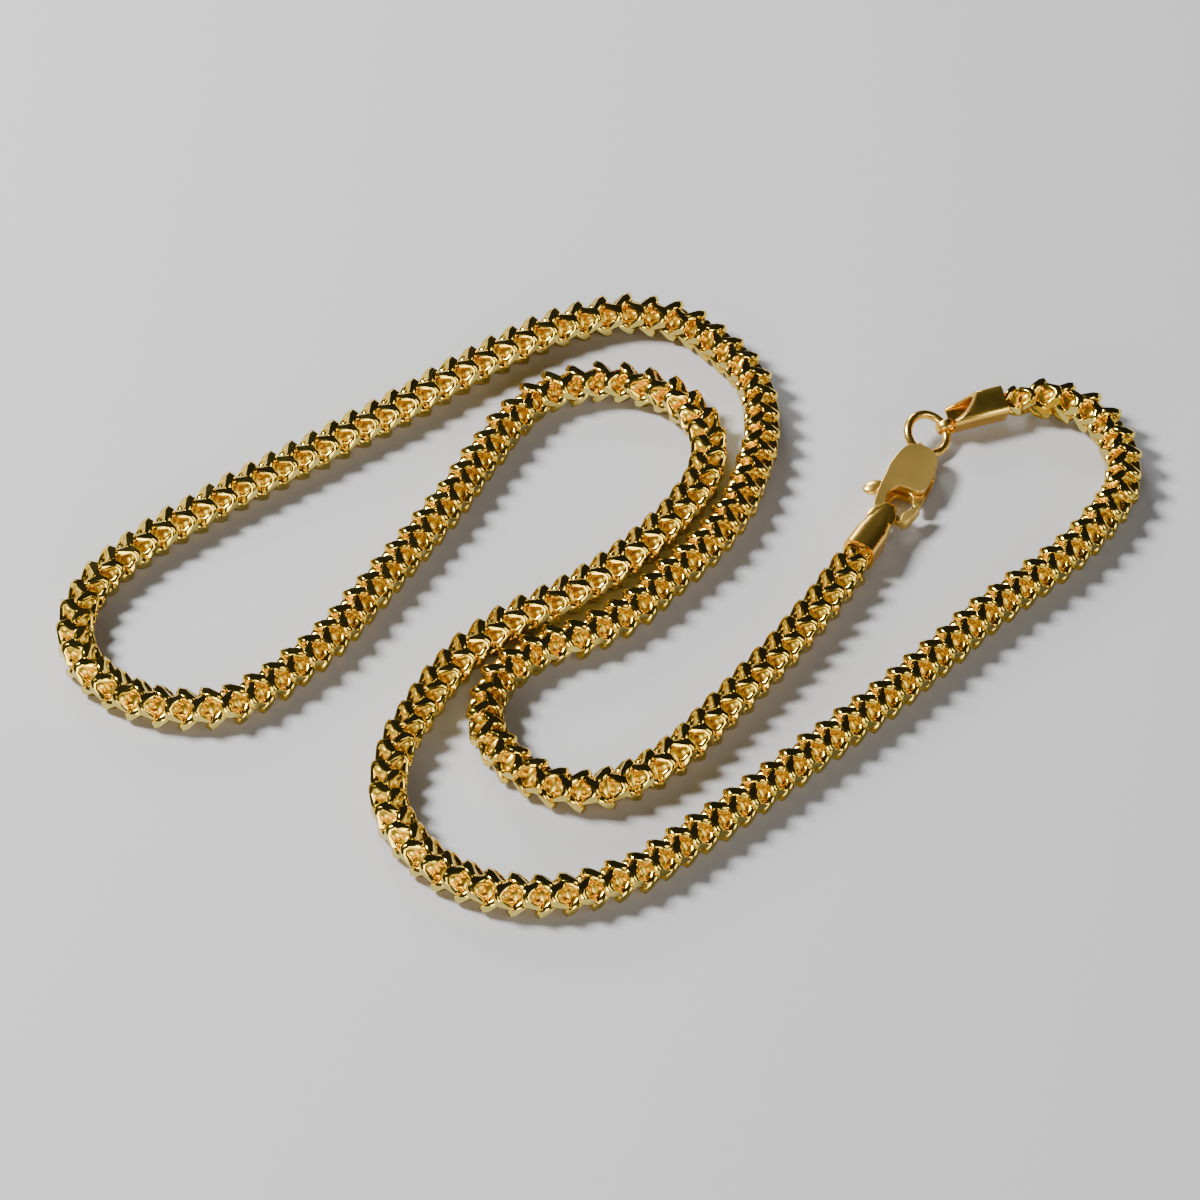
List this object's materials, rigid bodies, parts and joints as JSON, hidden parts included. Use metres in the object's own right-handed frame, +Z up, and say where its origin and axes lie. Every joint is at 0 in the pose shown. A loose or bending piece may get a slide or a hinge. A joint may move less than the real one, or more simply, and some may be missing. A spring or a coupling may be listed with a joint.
{
  "type": "franco neck chain",
  "caption": "Gold franco neck chain of square section, closed by a lobster clasp and lying in loose curves on a flat surface.",
  "frame": {"origin": "middle of the chain's outline on the surface it lies on", "axes": "+Z up from the surface, +X along the longer side of the outline, toward the end with the clasp"},
  "size_m": [0.112, 0.082, 0.0046],
  "materials": {
    "chain_gold": "polished yellow gold, bright cut flat faces",
    "fitting_gold": "polished yellow gold"
  },
  "bodies": {
    "necklace": {"chain": "chain_gold", "end_cap_ring_side": "fitting_gold", "end_cap_hook_side": "fitting_gold", "jump_ring": "fitting_gold", "clasp_body": "fitting_gold"},
    "lever": {"clasp_lever": "fitting_gold"}
  },
  "joints": [
    {"name": "lever_pivot", "type": "hinge", "parent": "necklace", "child": "lever", "pos_m": [0.03259, 0.01463, 0.00145], "axis": [0, 0, -1], "range_deg": [0, 24], "stiffness_Nm_per_rad": 0.012, "springref_deg": -17.19}
  ]
}
